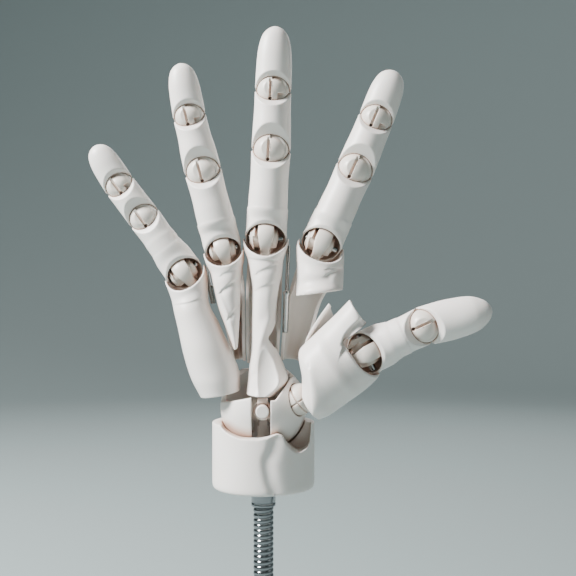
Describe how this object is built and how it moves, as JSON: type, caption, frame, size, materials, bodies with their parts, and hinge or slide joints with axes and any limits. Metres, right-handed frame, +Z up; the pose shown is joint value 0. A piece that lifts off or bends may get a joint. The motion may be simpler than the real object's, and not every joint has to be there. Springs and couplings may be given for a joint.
{
  "type": "poseable artificial hand on a flexible neck",
  "caption": "Right artificial hand in off-white resin covers with ball-hinged fingers, ball wrist and cuff, on a flexible steel neck with a threaded fitting.",
  "frame": {"origin": "centre of the mounting fitting's flat shoulder, where the neck stands on whatever carries it", "axes": "+Z up along the neck towards the fingertips, the palm faces -Y, the thumb points to +X"},
  "size_m": [0.197, 0.0543, 0.3467],
  "materials": {
    "cover_resin": "satin off-white moulded resin",
    "joint_resin": "polished cream resin",
    "rod_steel": "polished steel",
    "neck_steel": "plated wound steel",
    "chrome": "bright chrome",
    "fitting_steel": "turned steel"
  },
  "bodies": {
    "base": {"mounting_fitting": "fitting_steel", "neck_lower": "neck_steel"},
    "neck_middle": {"neck_middle": "neck_steel"},
    "forearm": {"neck_upper": "neck_steel", "neck_ferrule": "chrome", "forearm_cuff": "cover_resin", "forearm_post": "cover_resin"},
    "wrist_core": {"wrist_core": "joint_resin", "wrist_pin": "cover_resin"},
    "palm": {"ulnar_wrist_shell": "cover_resin", "radial_wrist_shell": "cover_resin", "wrist_link": "cover_resin", "middle_palm_cover": "cover_resin", "middle_back_cover": "cover_resin", "middle_rod": "rod_steel", "index_palm_cover": "cover_resin", "index_back_cover": "cover_resin", "index_rod": "rod_steel"},
    "ring_metacarpal": {"ring_palm_cover": "cover_resin", "ring_back_cover": "cover_resin", "ring_rod": "rod_steel"},
    "pinky_metacarpal": {"pinky_palm_cover": "cover_resin", "pinky_back_cover": "cover_resin", "pinky_rod": "rod_steel"},
    "index_knuckle": {"index_knuckle_hub": "joint_resin", "index_knuckle_pin": "rod_steel"},
    "index_proximal": {"index_proximal_cover": "cover_resin", "index_pip_ball": "joint_resin"},
    "index_middle": {"index_middle_cover": "cover_resin", "index_dip_ball": "joint_resin"},
    "index_distal": {"index_distal_cover": "cover_resin"},
    "middle_knuckle": {"middle_knuckle_hub": "joint_resin", "middle_knuckle_pin": "rod_steel"},
    "middle_proximal": {"middle_proximal_cover": "cover_resin", "middle_pip_ball": "joint_resin"},
    "middle_middle": {"middle_middle_cover": "cover_resin", "middle_dip_ball": "joint_resin"},
    "middle_distal": {"middle_distal_cover": "cover_resin"},
    "ring_knuckle": {"ring_knuckle_hub": "joint_resin", "ring_knuckle_pin": "rod_steel"},
    "ring_proximal": {"ring_proximal_cover": "cover_resin", "ring_pip_ball": "joint_resin"},
    "ring_middle": {"ring_middle_cover": "cover_resin", "ring_dip_ball": "joint_resin"},
    "ring_distal": {"ring_distal_cover": "cover_resin"},
    "pinky_knuckle": {"pinky_knuckle_hub": "joint_resin", "pinky_knuckle_pin": "rod_steel"},
    "pinky_proximal": {"pinky_proximal_cover": "cover_resin", "pinky_pip_ball": "joint_resin"},
    "pinky_middle": {"pinky_middle_cover": "cover_resin", "pinky_dip_ball": "joint_resin"},
    "pinky_distal": {"pinky_distal_cover": "cover_resin"},
    "thumb_root": {"thumb_root_ball": "joint_resin"},
    "thumb_metacarpal": {"thenar_cover": "cover_resin", "thumb_back_cover": "cover_resin", "thumb_knuckle_hub": "joint_resin", "thumb_knuckle_pin": "rod_steel"},
    "thumb_proximal": {"thumb_proximal_cover": "cover_resin", "thumb_ip_ball": "joint_resin"},
    "thumb_distal": {"thumb_distal_cover": "cover_resin"}
  },
  "joints": [
    {"name": "neck_side_bend", "type": "hinge", "parent": "base", "child": "neck_middle", "pos_m": [0, 0, 0.043], "axis": [0, 1, 0], "range_deg": [-20, 20]},
    {"name": "neck_front_bend", "type": "hinge", "parent": "neck_middle", "child": "forearm", "pos_m": [0, 0, 0.068], "axis": [1, 0, 0], "range_deg": [-20, 20]},
    {"name": "wrist_flexion", "type": "hinge", "parent": "forearm", "child": "wrist_core", "pos_m": [0, 0, 0.143], "axis": [1, 0, 0], "range_deg": [-28, 30]},
    {"name": "wrist_deviation", "type": "hinge", "parent": "wrist_core", "child": "palm", "pos_m": [0, 0, 0.143], "axis": [0, -1, 0], "range_deg": [-12, 12]},
    {"name": "ring_palm_flexion", "type": "hinge", "parent": "palm", "child": "ring_metacarpal", "pos_m": [-0.0115, 0, 0.167], "axis": [1, 0, 0], "range_deg": [0, 6]},
    {"name": "pinky_palm_flexion", "type": "hinge", "parent": "palm", "child": "pinky_metacarpal", "pos_m": [-0.018, 0, 0.163], "axis": [1, 0, 0], "range_deg": [0, 9]},
    {"name": "index_spread", "type": "hinge", "parent": "palm", "child": "index_knuckle", "pos_m": [0.0289, 0, 0.2243], "axis": [0, -1, 0], "range_deg": [-6, 18]},
    {"name": "index_knuckle_flexion", "type": "hinge", "parent": "index_knuckle", "child": "index_proximal", "pos_m": [0.0289, 0, 0.2243], "axis": [0.9092, 0, -0.4164], "range_deg": [-8, 75]},
    {"name": "index_pip_flexion", "type": "hinge", "parent": "index_proximal", "child": "index_middle", "pos_m": [0.0458, 0, 0.2612], "axis": [0.9092, 0, -0.4164], "range_deg": [0, 90]},
    {"name": "index_dip_flexion", "type": "hinge", "parent": "index_middle", "child": "index_distal", "pos_m": [0.0563, 0, 0.2864], "axis": [0.9231, 0, -0.3846], "range_deg": [0, 65]},
    {"name": "middle_spread", "type": "hinge", "parent": "palm", "child": "middle_knuckle", "pos_m": [0.0012, 0, 0.227], "axis": [0, -1, 0], "range_deg": [-6, 4]},
    {"name": "middle_knuckle_flexion", "type": "hinge", "parent": "middle_knuckle", "child": "middle_proximal", "pos_m": [0.0012, 0, 0.227], "axis": [0.9982, 0, -0.0593], "range_deg": [-8, 75]},
    {"name": "middle_pip_flexion", "type": "hinge", "parent": "middle_proximal", "child": "middle_middle", "pos_m": [0.0038, 0, 0.2708], "axis": [0.9982, 0, -0.0593], "range_deg": [0, 90]},
    {"name": "middle_dip_flexion", "type": "hinge", "parent": "middle_middle", "child": "middle_distal", "pos_m": [0.0048, 0, 0.3006], "axis": [0.9994, 0, -0.0335], "range_deg": [0, 65]},
    {"name": "ring_spread", "type": "hinge", "parent": "ring_metacarpal", "child": "ring_knuckle", "pos_m": [-0.02, 0, 0.221], "axis": [0, 1, 0], "range_deg": [-6, 12]},
    {"name": "ring_knuckle_flexion", "type": "hinge", "parent": "ring_knuckle", "child": "ring_proximal", "pos_m": [-0.02, 0, 0.221], "axis": [0.9678, 0, 0.2518], "range_deg": [-8, 75]},
    {"name": "ring_pip_flexion", "type": "hinge", "parent": "ring_proximal", "child": "ring_middle", "pos_m": [-0.0302, 0, 0.2602], "axis": [0.9678, 0, 0.2518], "range_deg": [0, 90]},
    {"name": "ring_dip_flexion", "type": "hinge", "parent": "ring_middle", "child": "ring_distal", "pos_m": [-0.037, 0, 0.2876], "axis": [0.9706, 0, 0.2409], "range_deg": [0, 65]},
    {"name": "pinky_spread", "type": "hinge", "parent": "pinky_metacarpal", "child": "pinky_knuckle", "pos_m": [-0.0396, 0, 0.2098], "axis": [0, 1, 0], "range_deg": [-6, 20]},
    {"name": "pinky_knuckle_flexion", "type": "hinge", "parent": "pinky_knuckle", "child": "pinky_proximal", "pos_m": [-0.0396, 0, 0.2098], "axis": [0.8063, 0, 0.5915], "range_deg": [-8, 70]},
    {"name": "pinky_pip_flexion", "type": "hinge", "parent": "pinky_proximal", "child": "pinky_middle", "pos_m": [-0.0597, 0, 0.2372], "axis": [0.8063, 0, 0.5915], "range_deg": [0, 80]},
    {"name": "pinky_dip_flexion", "type": "hinge", "parent": "pinky_middle", "child": "pinky_distal", "pos_m": [-0.0719, 0, 0.2532], "axis": [0.7952, 0, 0.6063], "range_deg": [0, 60]},
    {"name": "thumb_root_spread", "type": "hinge", "parent": "palm", "child": "thumb_root", "pos_m": [0.0178, -0.01, 0.1476], "axis": [0.122, 0.9886, 0.0883], "range_deg": [-8, 8]},
    {"name": "thumb_root_opposition", "type": "hinge", "parent": "thumb_root", "child": "thumb_metacarpal", "pos_m": [0.0178, -0.01, 0.1476], "axis": [-0.5865, 0, 0.8099], "range_deg": [-15, 8]},
    {"name": "thumb_knuckle_flexion", "type": "hinge", "parent": "thumb_metacarpal", "child": "thumb_proximal", "pos_m": [0.0497, -0.016, 0.1707], "axis": [-0.434, 0, 0.9009], "range_deg": [-45, 5]},
    {"name": "thumb_ip_flexion", "type": "hinge", "parent": "thumb_proximal", "child": "thumb_distal", "pos_m": [0.0771, -0.02, 0.1839], "axis": [-0.434, 0, 0.9009], "range_deg": [-70, 0]}
  ]
}
